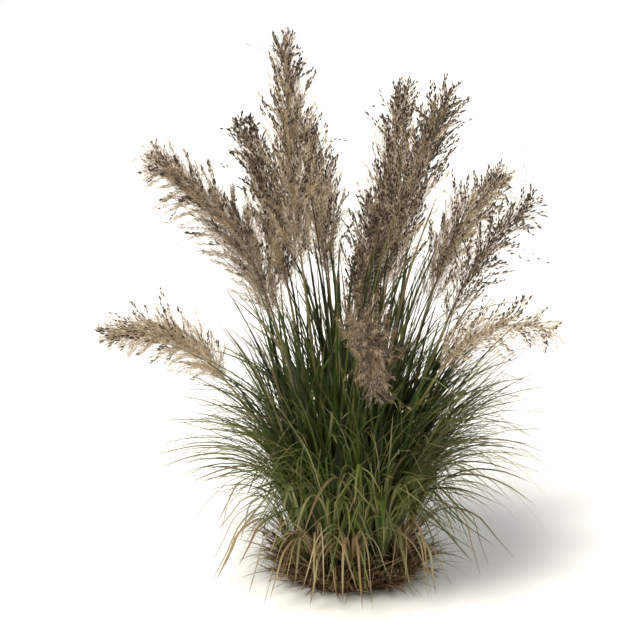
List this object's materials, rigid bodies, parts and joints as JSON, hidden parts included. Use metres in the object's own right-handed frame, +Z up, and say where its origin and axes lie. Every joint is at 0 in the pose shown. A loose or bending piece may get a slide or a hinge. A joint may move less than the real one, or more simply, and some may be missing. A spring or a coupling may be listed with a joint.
{
  "type": "pampas grass",
  "caption": "Clump of pampas grass: arching narrow leaves and tall feathery plumes on a low woody crown, cut flat at the ground so that it stands by itself.",
  "frame": {"origin": "middle of the crown's flat underside, on the surface that the clump stands on", "axes": "+Z up, -Y towards the viewer of the picture, +X to the viewer's right"},
  "size_m": [1.4107, 1.2503, 1.6016],
  "materials": {
    "crown": "rough, fibrous",
    "flower_stem": "smooth, matt",
    "plume": "silky hairs",
    "green_leaf": "matt, finely ribbed",
    "dry_leaf": "matt, papery"
  },
  "bodies": {
    "root": {"crown": "crown", "flower_stem_01": "flower_stem", "flower_stem_02": "flower_stem", "flower_stem_03": "flower_stem", "flower_stem_04": "flower_stem", "flower_stem_05": "flower_stem", "flower_stem_06": "flower_stem", "flower_stem_07": "flower_stem", "flower_stem_08": "flower_stem", "flower_stem_09": "flower_stem", "flower_stem_10": "flower_stem", "flower_stem_11": "flower_stem", "flower_stem_12": "flower_stem", "plume_01": "plume", "plume_02": "plume", "plume_03": "plume", "plume_04": "plume", "plume_05": "plume", "plume_06": "plume", "plume_07": "plume", "plume_08": "plume", "plume_09": "plume", "plume_10": "plume", "plume_11": "plume", "plume_12": "plume", "shoot_01": "green_leaf", "shoot_02": "green_leaf", "shoot_03": "green_leaf", "shoot_04": "green_leaf", "shoot_05": "green_leaf", "shoot_06": "green_leaf", "shoot_07": "green_leaf", "shoot_08": "green_leaf", "shoot_09": "green_leaf", "shoot_10": "green_leaf", "shoot_11": "green_leaf", "shoot_12": "green_leaf", "shoot_13": "green_leaf", "shoot_14": "green_leaf", "shoot_15": "green_leaf", "shoot_16": "green_leaf", "shoot_17": "green_leaf", "shoot_18": "green_leaf", "shoot_19": "green_leaf", "shoot_20": "green_leaf", "shoot_21": "green_leaf", "shoot_22": "green_leaf", "shoot_23": "green_leaf", "shoot_24": "green_leaf", "dry_leaves_01": "dry_leaf", "dry_leaves_02": "dry_leaf", "dry_leaves_03": "dry_leaf", "dry_leaves_04": "dry_leaf", "dry_leaves_05": "dry_leaf", "dry_leaves_06": "dry_leaf"}
  },
  "joints": []
}
